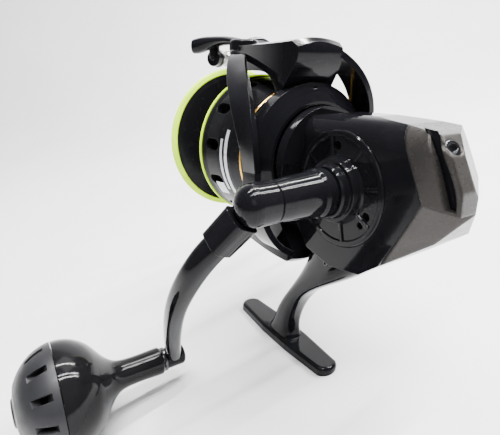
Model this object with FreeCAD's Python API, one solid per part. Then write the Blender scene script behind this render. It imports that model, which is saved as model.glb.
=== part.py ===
import FreeCAD, Part
import math
import os

os.makedirs("parts", exist_ok=True)

V = FreeCAD.Vector

# A large spinning reel, in millimetres. While it is drawn, the main shaft runs along X through
# the origin (+X towards the spool's front), the handle axis crosses at X = 0 towards +Y, and +Z
# points away from the foot. Each sub-part is moved by TO_FOOT when it is written, so that the
# finished origin is the centre of the foot's seating face.

# --- driving dimensions -------------------------------------------------------------------
FOOT_DROP = 90.8            # main shaft axis above the foot's seating face
FOOT_X = 42.2               # middle of the foot, ahead of the handle axis
FOOT_LENGTH = 68.7
FOOT_WIDTH = 13.6
FOOT_END_WIDTH = 10.4
FOOT_THICK = 4.0
TO_FOOT = V(-FOOT_X, 0, FOOT_DROP)

HANDLE_Z = -5.2             # handle axis below the main shaft (hypoid offset)
BODY_NEAR_Y = 11.0          # outer face of the body on the handle side
BODY_FAR_Y = -13.5          # outer face on the other side
CAVITY_NEAR_Y = 8.6
CAVITY_FAR_Y = -10.5
BODY_FRONT_X = 20.6
FLANGE_R = 20.0

PLATE_R = 19.5              # engine plate
PLATE_BORE_R = 17.4
PLATE_FACE_Y = 11.6

SHAFT_R = 2.0               # main shaft
SHAFT_BACK_X = -28.0
SHAFT_FRONT_X = 93.0
SLIDER_BACK_X = -27.0
SLIDER_FRONT_X = -20.5
WORM_Y = -6.0
WORM_Z = -11.6
WORM_R = 2.4
WORM_BACK_X = -29.8
PAWL_X = -23.75
GUIDE_Y = 0.5
GUIDE_Z = 8.4
GUIDE_R = 1.2
GUIDE_BACK_X = -34.2

GEAR_TEETH = 39
PINION_TEETH = 8
WORM_TEETH = 8
IDLER_TEETH = 8
GEAR_R = 16.4               # drive gear, outer radius
GEAR_INNER_R = 12.4
PINION_TIP_R = 4.1
PINION_ROOT_R = 3.1
IDLER_TIP_R = 2.74
IDLER_ROOT_R = 2.1
WORM_TIP_R = 3.2
WORM_ROOT_R = 2.6

CLUTCH_ROLLER_PITCH_R = 6.65

ROTOR_RIM_X = 23.6          # rear edge of the rotor cup
ROTOR_RIM_R = 21.6
ROTOR_RING_R = 28.0         # ring that the arms' struts join
ARM_R = 43.4                # outside of the rotor arms
BAIL_X = 78.0               # bail hinge line, along Z
BAIL_WIRE_R = 1.5

SPOOL_REAR_X = 37.5         # rear edge of the skirt
SPOOL_REAR_R = 26.3
SPOOL_FLANGE_R = 31.1
SPOOL_LIP_R = 34.0
ARBOUR_R = 20.0

BARREL_BASE_R = 7.7         # handle barrel, next to the body
BARREL_END_R = 6.4
DOME_Y = 43.1
DOME_R = 6.7
HANDLE_RADIUS = 94.3        # handle axis to knob axis
HANDLE_ANGLE = 31.8         # handle's lean from straight down towards the spool
KNOB_Y = 99.5
KNOB_R = 21.3
KNOB_NECK_Y = 60.4
KNOB_PART_Y = 100.7
KNOB_GAP = 0.15             # from the parting plane to each half's face
KNOB_END_Y = 116.5
KNOB_PIN_R = 2.2
KNOB_SLOTS = 12

RUN = 0.06                  # radial running clearance of shafts in bearings


# --- small helpers --------------------------------------------------------------------------
def cyl_x(x0, x1, radius, y=0.0, z=0.0):
    return Part.makeCylinder(radius, x1 - x0, V(x0, y, z), V(1, 0, 0))


def cyl_y(y0, y1, radius, x=0.0, z=0.0):
    return Part.makeCylinder(radius, y1 - y0, V(x, y0, z), V(0, 1, 0))


def cyl_z(z0, z1, radius, x=0.0, y=0.0):
    return Part.makeCylinder(radius, z1 - z0, V(x, y, z0), V(0, 0, 1))


def tube_x(x0, x1, outer, inner, y=0.0, z=0.0):
    return cyl_x(x0, x1, outer, y, z).cut(cyl_x(x0 - 1, x1 + 1, inner, y, z))


def tube_y(y0, y1, outer, inner, x=0.0, z=0.0):
    return cyl_y(y0, y1, outer, x, z).cut(cyl_y(y0 - 1, y1 + 1, inner, x, z))


def block(x0, x1, y0, y1, z0, z1):
    return Part.makeBox(x1 - x0, y1 - y0, z1 - z0, V(x0, y0, z0))


def prism_y(outline, y0, y1):
    """Solid of an (x, z) outline between two Y planes."""
    points = [V(x, y0, z) for x, z in outline]
    face = Part.Face(Part.makePolygon(points + points[:1]))
    return face.extrude(V(0, y1 - y0, 0))


def outline_wire(runs, place):
    """Closed wire from runs of points: two points make a straight run, more make a smooth curve.

    Each run starts where the one before it ends, and place turns a pair into a point."""
    edges = []
    for run in runs:
        points = [place(pair) for pair in run]
        if len(points) == 2:
            edges.append(Part.makeLine(points[0], points[1]))
        else:
            curve = Part.BSplineCurve()
            curve.interpolate(points)
            edges.append(curve.toShape())
    return Part.Wire(edges)


def turned_x(profile):
    """Solid of revolution about X of an (x, r) outline."""
    points = [V(x, 0, r) for x, r in profile]
    face = Part.Face(Part.makePolygon(points + points[:1]))
    return face.revolve(V(0, 0, 0), V(1, 0, 0), 360)


def turned_y(profile, x=0.0, z=0.0):
    """Solid of revolution about a line along Y of a (y, r) outline."""
    points = [V(r, y, 0) for y, r in profile]
    face = Part.Face(Part.makePolygon(points + points[:1]))
    solid = face.revolve(V(0, 0, 0), V(0, 1, 0), 360)
    solid.translate(V(x, 0, z))
    return solid


def joined(first, *others):
    shape = first
    for other in others:
        shape = shape.fuse(other)
    return shape.removeSplitter()


def less(shape, *tools):
    for tool in tools:
        shape = shape.cut(tool)
    return shape


def half_turned(shape):
    """Copy turned half a turn about the main shaft."""
    copy = shape.copy()
    copy.rotate(V(0, 0, 0), V(1, 0, 0), 180)
    return copy


def ring_of(shape, count, centre, axis, first=0.0):
    copies = []
    for index in range(count):
        copy = shape.copy()
        copy.rotate(centre, axis, first + 360.0 * index / count)
        copies.append(copy)
    return copies


def rounded_section(front, rear, half_width, power=0.62, count=20):
    """Closed smooth wire between two (x, z) points, as thick as half_width each way in Y."""
    mid = V((front[0] + rear[0]) / 2, 0, (front[1] + rear[1]) / 2)
    reach = V((front[0] - rear[0]) / 2, 0, (front[1] - rear[1]) / 2)
    points = []
    for index in range(count):
        angle = 2 * math.pi * index / count
        along = math.copysign(abs(math.cos(angle)) ** power, math.cos(angle))
        across = math.copysign(abs(math.sin(angle)) ** power, math.sin(angle))
        points.append(mid + reach * along + V(0, half_width * across, 0))
    curve = Part.BSplineCurve()
    curve.interpolate(points, PeriodicFlag=True)
    return Part.Wire([curve.toShape()])


def bar_section(centre, wide, thick, width, depth):
    """Rectangular wire about a point, wide and thick being unit directions."""
    w = wide * (width / 2)
    d = thick * (depth / 2)
    corners = [centre + w + d, centre - w + d, centre - w - d, centre + w - d]
    return Part.makePolygon(corners + corners[:1])


def hex_prism_x(x0, x1, across_flats, y=0.0, z=0.0):
    radius = across_flats / math.sqrt(3)
    points = []
    for index in range(6):
        angle = math.radians(60 * index)
        points.append(V(x0, y + radius * math.cos(angle), z + radius * math.sin(angle)))
    return Part.Face(Part.makePolygon(points + points[:1])).extrude(V(x1 - x0, 0, 0))


def spur_gear_x(x0, x1, teeth, tip, root, y=0.0, z=0.0, turn=0.0):
    """Straight-toothed wheel about a line along X, its teeth as tapered blocks."""
    pitch = 360.0 / teeth
    shape = cyl_x(x0, x1, root, y, z)
    low = root * 2 * math.sin(math.radians(pitch * 0.28))
    high = low * 0.5
    tooth = [(root - 0.4, -low / 2), (root - 0.4, low / 2), (tip, high / 2), (tip, -high / 2)]
    points = [V(x0, y + across, z + radial) for radial, across in tooth]
    solid = Part.Face(Part.makePolygon(points + points[:1])).extrude(V(x1 - x0, 0, 0))
    teeth_solids = ring_of(solid, teeth, V(x0, y, z), V(1, 0, 0), turn)
    return joined(shape, *teeth_solids)


def coil_spring_x(x0, x1, radius, wire, turns, y=0.0, z=0.0):
    pitch = (x1 - x0) / turns
    helix = Part.makeHelix(pitch, x1 - x0, radius)
    circle = Part.Wire([Part.makeCircle(wire, V(radius, 0, 0), V(0, 1, 0))])
    spring = Part.Wire(helix.Edges).makePipeShell([circle], True, True)
    spring.rotate(V(0, 0, 0), V(0, 1, 0), 90)
    spring.translate(V(x0, y, z))
    return spring


def socket_screw(centre, axis, head_r, head_h, shank_r, length):
    """Cap screw whose head sits on centre and whose shank runs along -axis."""
    head = Part.makeCylinder(head_r, head_h, centre, axis)
    rims = [edge for edge in head.Edges if edge.Closed]
    top = [edge for edge in rims if (edge.CenterOfMass - centre).dot(axis) > head_h / 2]
    head = head.makeChamfer(min(0.25, head_r * 0.12), top)
    shank = Part.makeCylinder(shank_r, length, centre - axis * length, axis)
    socket = hex_prism_x(head_h * 0.35, head_h + 1, head_r * 1.05)
    socket.Placement = FreeCAD.Placement(centre, FreeCAD.Rotation(V(1, 0, 0), axis))
    return head.fuse(shank).cut(socket)


def ball_bearing(start, end, outer, inner, along="y", x=0.0, z=0.0):
    """Shielded ball bearing as one ring with a shallow groove on both faces."""
    tube = tube_y if along == "y" else tube_x
    centre = (x, z) if along == "y" else (0.0, z)
    ring = tube(start, end, outer, inner, *centre)
    grooves = [tube(start - 1, start + 0.25, outer - 0.9, inner + 0.8, *centre),
               tube(end - 0.25, end + 1, outer - 0.9, inner + 0.8, *centre)]
    return less(ring, *grooves)


def save(node, *solids):
    """Write one node, moved so that the origin is at the foot's seating face."""
    pieces = []
    for solid in solids:
        for piece in solid.Solids:
            piece.translate(TO_FOOT)
            if not piece.isValid():
                print("not valid:", node)
            pieces.append(piece)
    shape = pieces[0] if len(pieces) == 1 else Part.makeCompound(pieces)
    shape.exportStep("parts/" + node + ".step")
    print(node, len(pieces), "solids", round(shape.Volume, 1), "mm3")


# --- body, leg and foot -----------------------------------------------------------------------
BODY_OUTLINE = [(BODY_FRONT_X, -24), (BODY_FRONT_X, 13), (17.5, 17.2), (8, 18.4), (-8, 18.6),
                (-21.8, 17.6), (-31.7, -2.6), (-19.4, -25.6), (-12, -31.5), (2, -34), (15, -31)]
COVER_OUTLINE = [(-21.8, 17.6), (-33.5, 16.0), (-38.5, 11.5), (-42.6, 3.0), (-43.0, -3.0),
                 (-33.5, -14.5), (-19.4, -25.6), (-31.7, -2.6)]
CAVITY_OUTLINE = [(17.2, -14), (17.2, 12), (10, 15.4), (-22, 14.8), (-32.5, 13.2), (-39.6, 3),
                  (-39.9, -2.5), (-31.2, -12.9), (-18.8, -22.6), (-4, -22.6), (8, -20)]


COVER_SCREW_AXIS = V(-0.82, 0.2, 0.54).normalize()
COVER_SCREW_AT = V(-35.3, 7.6, 12.6)
SLOT_FLOOR_Y = 8.4          # bottom of the slot in the cover's near side
# The cover's far side is cut back to a tail, and its near side to a wedge below the corner.
TAIL_CUTS = [(V(-38.9, 4.5, 9.3), V(-0.793, -0.458, 0.401)),
             (V(-43.0, 4.5, 0.0), V(-0.853, -0.522, 0.0))]
WEDGE_AT = V(-31.7, BODY_NEAR_Y, -2.9)
WEDGE_NORMAL = V(-0.485, 0.821, -0.302)
CAVITY_WALL = 1.9           # left of the tail between the cavity and the outside
CAVITY_TAIL_X = -19.5       # behind this the cavity keeps clear of the slot and the wedge
CAVITY_TAIL_Y = 4.4


def crowned(outline):
    """Body slab with its long edges rounded by a barrel-shaped section in the YZ plane."""
    slab = prism_y(outline, BODY_FAR_Y, BODY_NEAR_Y)
    crown = [(BODY_FAR_Y, 8.5), (-12.3, 13.4), (-9.2, 16.9), (-4.5, 18.7), (2.0, 18.8),
             (7.0, 17.6), (9.8, 14.6), (BODY_NEAR_Y, 9.5)]
    low = -36
    runs = [crown, [crown[-1], (BODY_NEAR_Y, low)], [(BODY_NEAR_Y, low), (BODY_FAR_Y, low)],
            [(BODY_FAR_Y, low), crown[0]]]
    section = outline_wire(runs, lambda pair: V(-50, pair[0], pair[1]))
    barrel = Part.Face(section).extrude(V(80, 0, 0))
    return slab.common(barrel)


def leg():
    stations = [((17.5, -26), (-17, -25), 9.0), ((20.5, -38), (-3, -38.5), 8.2),
                ((27.5, -50.5), (11.5, -49), 6.9), ((37, -64), (25.5, -61), 5.7),
                ((43.6, -75), (32.6, -73.5), 5.1), ((47.8, -83), (34.2, -83.5), 5.0),
                ((53, -88.2), (31, -88.2), 5.4)]
    wires = [rounded_section(front, rear, half) for front, rear, half in stations]
    return Part.makeLoft(wires, True, False)


def foot():
    half = FOOT_LENGTH / 2
    wide = FOOT_WIDTH / 2
    end = FOOT_END_WIDTH / 2
    tip = half - 3.4
    corners = [V(-9, wide, 0), V(9, wide, 0), V(tip, end, 0)]
    nose = Part.Arc(V(tip, end, 0), V(half, 0, 0), V(tip, -end, 0)).toShape()
    tail = Part.Arc(V(-tip, -end, 0), V(-half, 0, 0), V(-tip, end, 0)).toShape()
    edges = [Part.makeLine(V(-tip, end, 0), corners[0]), Part.makeLine(corners[0], corners[1]),
             Part.makeLine(corners[1], corners[2]), nose,
             Part.makeLine(V(tip, -end, 0), V(9, -wide, 0)),
             Part.makeLine(V(9, -wide, 0), V(-9, -wide, 0)),
             Part.makeLine(V(-9, -wide, 0), V(-tip, -end, 0)), tail]
    plate = Part.Face(Part.Wire(edges)).extrude(V(0, 0, FOOT_THICK))
    top_edges = [edge for edge in plate.Edges
                 if edge.BoundBox.ZMin > FOOT_THICK - 0.01]
    plate = plate.makeFillet(1.6, top_edges)
    plate.translate(V(FOOT_X, 0, -FOOT_DROP))
    return plate


def cavity():
    hollow = prism_y(CAVITY_OUTLINE, CAVITY_FAR_Y, CAVITY_NEAR_Y)
    tails = [beyond(at - normal * CAVITY_WALL, normal) for at, normal in TAIL_CUTS]
    behind_slot = block(-60, CAVITY_TAIL_X, CAVITY_TAIL_Y, CAVITY_NEAR_Y + 1, -30, 30)
    gear_room = cyl_y(2.6, BODY_NEAR_Y + 5, PLATE_BORE_R, 0, HANDLE_Z)
    return less(hollow, *tails, behind_slot).fuse(gear_room)


def body_housing():
    shape = crowned(BODY_OUTLINE)
    flange = cyl_x(18.6, 22.8, FLANGE_R)
    nose = cyl_x(22.8, 34.7, 11.6)
    shape = joined(shape, flange, leg(), foot(), nose)
    shape = less(shape, cavity(), cyl_y(10.2, 30, PLATE_R + 0.1, 0, HANDLE_Z))
    boss = cyl_y(BODY_FAR_Y, -8.9, 7.6, 0, HANDLE_Z)
    carriers = [cyl_x(14.9, 17.6, 4.6, WORM_Y, WORM_Z), cyl_x(14.9, 17.6, 3.2, GUIDE_Y, GUIDE_Z)]
    shape = joined(shape, boss, *carriers)
    bearing_seat = cyl_y(-14.5, -9.2, 6.02, 0, HANDLE_Z)
    axle_hole = cyl_y(-9.4, -8, 3.4, 0, HANDLE_Z)
    pinion_hole = cyl_x(14, 40, 5.2)
    rear_seat = cyl_x(17.4, 21.0, 6.52)
    clutch_seat = cyl_x(23.6, 40, 10.02)
    worm_hole = cyl_x(14, 17.3, 1.5 + RUN, WORM_Y, WORM_Z)
    guide_hole = cyl_x(14, 16.8, GUIDE_R + 0.02, GUIDE_Y, GUIDE_Z)
    screw_hole = cyl_y(6, 9.5, 1.1, 6.0, -35.0)
    return less(shape, bearing_seat, axle_hole, pinion_hole, rear_seat, clutch_seat, worm_hole,
                guide_hole, screw_hole)


def beyond(point, normal, size=90.0):
    """Large block filling the side of a plane that its normal points to."""
    slab = Part.makeBox(size, size, size, V(-size / 2, -size / 2, 0))
    slab.Placement = FreeCAD.Placement(point, FreeCAD.Rotation(V(0, 0, 1), normal))
    return slab


def rear_slot():
    """Curved band let into the cover's near side, from its top down to the wedge."""
    front = [(-28.4, 19.0), (-31.8, 13.0), (-34.9, 7.0), (-37.2, 1.5), (-38.9, -2.3)]
    back = [(-41.7, -2.3), (-40.6, 3.2), (-38.2, 8.0), (-35.0, 13.0), (-31.4, 19.0)]
    runs = [front, [front[-1], back[0]], back, [back[-1], front[0]]]
    face = Part.Face(outline_wire(runs, lambda pair: V(pair[0], SLOT_FLOOR_Y, pair[1])))
    return face.extrude(V(0, 9, 0))


def rear_cover():
    shell = crowned(COVER_OUTLINE)
    tails = [beyond(at, normal) for at, normal in TAIL_CUTS]
    below_crease = block(-60, 0, -30, 30, -60, WEDGE_AT.z)
    wedge = beyond(WEDGE_AT, WEDGE_NORMAL).common(below_crease)
    solid = less(shell, *tails, wedge)
    carriers = [cyl_x(-38, WORM_BACK_X - 0.3, 3.6, WORM_Y, WORM_Z),
                cyl_x(-40, GUIDE_BACK_X + 3.2, 3, GUIDE_Y, GUIDE_Z)]
    carriers = [carrier.common(solid) for carrier in carriers]
    shape = joined(solid.cut(cavity()), *carriers)
    holes = [cyl_x(WORM_BACK_X - 4.4, -20, 1.5 + RUN, WORM_Y, WORM_Z),
             cyl_x(GUIDE_BACK_X - 0.4, GUIDE_BACK_X + 4, GUIDE_R + 0.02, GUIDE_Y, GUIDE_Z)]
    recess = Part.makeCylinder(2.5, 6, COVER_SCREW_AT, COVER_SCREW_AXIS)
    screw = Part.makeCylinder(0.95, 6, COVER_SCREW_AT - COVER_SCREW_AXIS * 6, COVER_SCREW_AXIS)
    return less(shape, rear_slot(), recess, screw, *holes)


def rear_cover_screws():
    return [socket_screw(COVER_SCREW_AT, COVER_SCREW_AXIS, 2.3, 1.2, 0.9, 4.0)]


def engine_plate():
    profile = [(8.7, PLATE_BORE_R - 0.1), (10.3, PLATE_BORE_R - 0.1), (10.3, PLATE_R),
               (PLATE_FACE_Y - 0.4, PLATE_R), (PLATE_FACE_Y, PLATE_R - 0.4), (PLATE_FACE_Y, 17.6),
               (PLATE_FACE_Y - 0.5, 17.3), (PLATE_FACE_Y - 0.5, 11.6), (PLATE_FACE_Y + 0.3, 11.2),
               (14.4, 10.4), (14.4, 9.2), (16.6, 8.9), (17.2, 8.4), (17.2, 5.6), (11.7, 5.6),
               (11.7, 8.02), (8.7, 8.02)]
    plate = turned_y(profile, 0, HANDLE_Z)
    rib = block(-0.55, 0.55, PLATE_FACE_Y - 0.6, PLATE_FACE_Y, 11.4, 17.5)
    rib.translate(V(0, 0, HANDLE_Z))
    ribs = ring_of(rib, 8, V(0, 0, HANDLE_Z), V(0, 1, 0), 12)
    hole = cyl_y(9.6, 20, 1.2, -11.0, HANDLE_Z - 9.4)
    spanner = cyl_y(PLATE_FACE_Y - 2.0, 20, 1.5, 0, 0)
    spanner.translate(V(14.4, 0, HANDLE_Z))
    slots = ring_of(spanner, 3, V(0, 0, HANDLE_Z), V(0, 1, 0), 35)
    return less(joined(plate, *ribs), hole, *slots)


def roller_clutch():
    """Outer shell and cage, and the rollers between them."""
    shell = tube_x(24.0, 31.6, 9.95, 7.75)
    pocket = cyl_x(24.5, 31.1, 1.05, 0, CLUTCH_ROLLER_PITCH_R)
    roller = cyl_x(24.6, 31.0, 0.9, 0, CLUTCH_ROLLER_PITCH_R)
    cage = less(tube_x(24.2, 31.4, 7.3, 6.0), *ring_of(pocket, 6, V(0, 0, 0), V(1, 0, 0)))
    return [shell, cage], ring_of(roller, 6, V(0, 0, 0), V(1, 0, 0))


# --- drive train ----------------------------------------------------------------------------
def drive_gear():
    """Face gear on its hollow shaft, which passes just under the main shaft."""
    web = turned_y([(4.9, 2.4), (4.9, GEAR_R), (6.8, GEAR_R), (6.8, 11.5), (6.1, 11.0), (6.1, 6.2),
                    (8.2, 5.6), (8.2, 2.4)], 0, HANDLE_Z)
    inner = bar_section(V(GEAR_INNER_R, 4.6, 0), V(0, 0, 1), V(0, 1, 0), 1.0, 0.8)
    outer = bar_section(V(GEAR_R, 4.6, 0), V(0, 0, 1), V(0, 1, 0), 1.3, 0.8)
    tooth = Part.makeLoft([inner, outer], True)
    tooth.translate(V(0, 0, HANDLE_Z))
    centre = V(0, 0, HANDLE_Z)
    teeth = ring_of(tooth, GEAR_TEETH, centre, V(0, 1, 0))
    holes = ring_of(cyl_y(4, 8, 1.7, 8.7, HANDLE_Z), 6, centre, V(0, 1, 0))
    shaft = joined(cyl_y(4.7, 17.0, 4.0, 0, HANDLE_Z), cyl_y(-12.0, 4.8, 2.9, 0, HANDLE_Z))
    shape = less(joined(web, shaft), *holes)
    return joined(shape, *teeth).cut(cyl_y(3.0, 18, 2.4, 0, HANDLE_Z))


def pinion_gear():
    teeth = spur_gear_x(9.6, 17.0, PINION_TEETH, PINION_TIP_R, PINION_ROOT_R)
    tube = cyl_x(16.8, 45.0, 3.4)
    return less(joined(teeth, tube), cyl_x(0, 60, SHAFT_R + RUN))


def worm_shaft():
    core = cyl_x(WORM_BACK_X, 14.7, WORM_R, WORM_Y, WORM_Z)
    ends = cyl_x(WORM_BACK_X - 4.0, 17.0, 1.5, WORM_Y, WORM_Z)
    shape = joined(core, ends)
    grooves = []
    for index in range(7):
        centre = -24.0 + 4.3 * index
        for lean in (1, -1):
            cutter = Part.makeTorus(WORM_R + 0.35, 0.75, V(0, 0, 0), V(1, 0, 0))
            cutter.rotate(V(0, 0, 0), V(0, 0, 1), 24 * lean)
            cutter.translate(V(centre, WORM_Y, WORM_Z))
            grooves.append(cutter)
    return less(shape, *grooves)


def slider_block():
    core = block(SLIDER_BACK_X, SLIDER_FRONT_X, -8.5, 2.6, -14.5, 3.4)
    arm = block(SLIDER_BACK_X, SLIDER_FRONT_X, -1.9, 2.6, 3.0, 10.6)
    shape = joined(core, arm)
    shape = shape.makeFillet(0.8, [e for e in shape.Edges if e.BoundBox.XLength > 6.0])
    return less(shape, cyl_x(-60, 0, WORM_R + 0.12, WORM_Y, WORM_Z), cyl_x(-60, 0, SHAFT_R),
                cyl_x(-60, 0, GUIDE_R + 0.08, GUIDE_Y, GUIDE_Z),
                cyl_z(-10.2, -3.8, 1.35, PAWL_X, WORM_Y), cyl_z(-5.4, 4, 2.1, PAWL_X, WORM_Y))


def slider_pawl():
    pin = cyl_z(-8.9, -4.6, 1.3, PAWL_X, WORM_Y)
    cap = cyl_z(-5.3, -4.4, 2.0, PAWL_X, WORM_Y)
    return joined(pin, cap)


def main_shaft():
    shaft = cyl_x(SHAFT_BACK_X, SHAFT_FRONT_X, SHAFT_R)
    collar = tube_x(60.2, 62.6, 4.2, SHAFT_R - 0.2)
    pin = cyl_y(-3.4, 3.4, 0.7, 61.4, 0)
    return joined(shaft, collar, pin)


# --- rotor ------------------------------------------------------------------------------------
ARM_HEEL = [(32.0, 22.5), (28.2, 30.0), (24.2, 36.6), (24.6, 41.2), (31.5, 43.8)]
ARM_BELLY = [(84.0, 36.9), (79.0, 35.4), (73.0, 33.2), (64.0, 32.5), (48.0, 32.3), (40.0, 30.4),
             (36.6, 27.0), (35.8, 22.5)]
ARM_FLANK = [(20, 8.6), (28, 11.4), (38, 11.8), (50, 10.6), (66, 8.0), (77, 6.4)]
ARM_NOSE = [(77, 6.4), (82.2, 4.4), (83.8, 0), (82.2, -4.4), (77, -6.4)]
COVER_X0 = 41.0             # cover plate let into each arm
COVER_X1 = 64.5
COVER_SCREWS = (42.2, 63.3)
# Struts in (x, radius, angle from the arm, width): one leaves the arm's tip, the other its heel.
TIP_STRUT = [(75.0, 39.4, 3, 6.5), (63.5, 38.6, 18, 7.5), (49.5, 35.6, 34, 8.5),
             (36.0, 32.4, 53, 9.0), (29.5, 29.2, 72, 9.0), (28.6, 26.9, 96, 8.6)]
HEEL_STRUT = [(30.5, 40.3, -8, 12.0), (28.8, 37.2, -28, 12.0), (27.6, 33.6, -46, 11.5),
              (27.8, 30.0, -63, 10.5), (28.6, 26.9, -84, 8.6)]


def strut_point(x, radius, degrees):
    angle = math.radians(degrees)
    return V(x, radius * math.sin(angle), radius * math.cos(angle))


def strut(stations, thick=2.5):
    centres = [strut_point(x, radius, degrees) for x, radius, degrees, width in stations]
    wires = []
    for index, (x, radius, degrees, width) in enumerate(stations):
        before = centres[max(index - 1, 0)]
        after = centres[min(index + 1, len(centres) - 1)]
        along = (after - before).normalize()
        outward = V(0, centres[index].y, centres[index].z).normalize()
        wide = along.cross(outward).normalize()
        deep = wide.cross(along).normalize()
        wires.append(bar_section(centres[index], wide, deep, width, thick))
    return Part.makeLoft(wires, True, False)


def rotor_arm():
    """One arm: a side view and a plan view crossed, inside the rotor's outer circle."""
    top_back = ARM_HEEL[-1]
    side_runs = [ARM_HEEL, [top_back, (69.0, 43.8)], [(69.0, 43.8), (70.6, 41.2)],
                 [(70.6, 41.2), (84.0, 41.2)], [(84.0, 41.2), ARM_BELLY[0]], ARM_BELLY,
                 [ARM_BELLY[-1], ARM_HEEL[0]]]
    side = Part.Face(outline_wire(side_runs, lambda pair: V(pair[0], -12, pair[1])))
    far_flank = [(x, -y) for x, y in reversed(ARM_FLANK)]
    plan_runs = [ARM_FLANK, ARM_NOSE, far_flank, [far_flank[-1], ARM_FLANK[0]]]
    plan = Part.Face(outline_wire(plan_runs, lambda pair: V(pair[0], pair[1], 20)))
    limit = turned_x([(15, 0), (15, 39.6), (22, 39.6), (27, ARM_R), (90, ARM_R), (90, 0)])
    return side.extrude(V(0, 24, 0)).common(plan.extrude(V(0, 0, 30))).common(limit)


def rotor():
    cup = turned_x([(ROTOR_RIM_X, 20.4), (ROTOR_RIM_X, ROTOR_RIM_R), (25.6, 24.6), (27.4, ROTOR_RING_R),
                    (32.8, ROTOR_RING_R), (34.4, 23.8), (50.0, 23.8), (50.0, 22.4), (41.8, 22.2),
                    (41.8, 8.0), (45.0, 7.4), (45.0, 3.44), (37.6, 3.44), (37.6, 12.0), (38.6, 20.6),
                    (27.0, 21.4), (25.2, 20.4)])
    arm = rotor_arm()
    near = strut(TIP_STRUT)
    far = strut(HEEL_STRUT)
    parts = [arm, near, far, half_turned(arm), half_turned(near), half_turned(far)]
    inside = turned_x([(ROTOR_RIM_X - 9, 20.4), (25.2, 20.4), (27.0, 21.4), (38.6, 20.6),
                       (37.6, 12), (37.6, 0), (ROTOR_RIM_X - 9, 0)])
    shape = joined(cup, *parts).cut(inside)
    pocket = block(43.5, 62.0, -4.2, 4.2, 38.6, 42.3)
    pocket = pocket.fuse(block(COVER_X0 - 0.1, COVER_X1 + 0.1, -5.4, 5.4, 42.3, 50))
    hinge_hole = cyl_z(36, 50, 1.6, BAIL_X, 0)
    lock_hole = cyl_x(40, 50, 0.85, 0, 6.0)
    screw_holes = [cyl_z(38, 50, 0.68, x, 0) for x in COVER_SCREWS]
    cuts = [pocket, half_turned(pocket), hinge_hole, half_turned(hinge_hole), lock_hole]
    for hole in screw_holes:
        cuts += [hole, half_turned(hole)]
    arm_screw = Part.makeCylinder(1.0, 3.0, V(26.5, 0, 25.6), V(1, 0, 0.35))
    cuts += [arm_screw, half_turned(arm_screw)]
    window = [block(40.5, 43, -3.2, 3.2, 11, 18.5)]
    cuts += ring_of(window[0], 6, V(0, 0, 0), V(1, 0, 0), 30)
    return less(shape, *cuts)


def arm_cover():
    plate = block(COVER_X0, COVER_X1, -5.3, 5.3, 42.35, 50).common(cyl_x(30, 75, ARM_R))
    holes = [cyl_z(38, 50, 0.75, x, 0) for x in COVER_SCREWS]
    return less(plate, *holes)


def arm_cover_screws(turned):
    screws = []
    for x in COVER_SCREWS:
        screw = socket_screw(V(x, 0, 43.15), V(0, 0, 1), 0.7, 0.4, 0.65, 1.1)
        screws.append(half_turned(screw) if turned else screw)
    return screws


# --- bail ---------------------------------------------------------------------------------------
def tapered_bar(stations, count=16):
    """Loft of elliptical sections: (centre, direction, half width, half height)."""
    wires = []
    for centre, direction, wide, tall in stations:
        side = V(0, 0, 1).cross(direction).normalize()
        up = direction.cross(side).normalize()
        ellipse = []
        for index in range(count):
            angle = 2 * math.pi * index / count
            ellipse.append(centre + side * (wide * math.cos(angle)) + up * (tall * math.sin(angle)))
        curve = Part.BSplineCurve()
        curve.interpolate(ellipse, PeriodicFlag=True)
        wires.append(Part.Wire([curve.toShape()]))
    return Part.makeLoft(wires, True, False)


ROLLER_AXIS = V(0.45, -0.89, 0.0).normalize()
ROLLER_AT = V(99.5, -0.5, 38.6)


def bail_arm():
    """Arm on the rotor's top tip: hub, forward reach, pointed nose and the roller's ear."""
    hub = cyl_z(41.5, 46.0, 6.6, BAIL_X, 0)
    hub = hub.makeFillet(1.4, [e for e in hub.Edges if e.BoundBox.ZMin > 45.9])
    reach = tapered_bar([(V(79, 0.4, 44.9), V(1, 0.2, 0), 4.6, 1.1),
                         (V(86, 1.8, 46.0), V(1, 0.3, 0), 4.5, 1.9),
                         (V(93, 4.4, 46.2), V(1, 0.5, 0), 4.5, 2.3),
                         (V(99, 8.6, 45.2), V(1, 0.8, 0), 4.2, 3.3),
                         (V(104, 13.2, 44.2), V(1, 0.9, 0), 3.2, 3.2)])
    ear = Part.makeCylinder(3.6, 3.0, ROLLER_AT - ROLLER_AXIS * 8.2, ROLLER_AXIS)
    web = Part.makeCylinder(2.6, 6.4, ROLLER_AT - ROLLER_AXIS * 6.9, V(0, 0, 1))
    room = Part.makeCylinder(4.7, 14, ROLLER_AT - ROLLER_AXIS * 4.9, ROLLER_AXIS)
    hinge_hole = cyl_z(36, 44.4, 1.6, BAIL_X, 0).fuse(cyl_z(44.4, 50, 2.7, BAIL_X, 0))
    pin_hole = Part.makeCylinder(1.1, 14, ROLLER_AT - ROLLER_AXIS * 9.4, ROLLER_AXIS)
    return less(joined(hub, reach, ear, web), room, hinge_hole, pin_hole)


def line_roller():
    """Waisted roller about ROLLER_AXIS."""
    profile = [(-4.6, 1.16), (-4.6, 4.0), (-3.8, 4.2), (-1.2, 3.1), (1.6, 2.9), (3.4, 3.7), (4.4, 3.6),
               (4.4, 1.16)]
    points = [V(radius, 0, along) for along, radius in profile]
    solid = Part.Face(Part.makePolygon(points + points[:1])).revolve(V(0, 0, 0), V(0, 0, 1), 360)
    solid.Placement = FreeCAD.Placement(ROLLER_AT, FreeCAD.Rotation(V(0, 0, 1), ROLLER_AXIS))
    return solid


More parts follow.
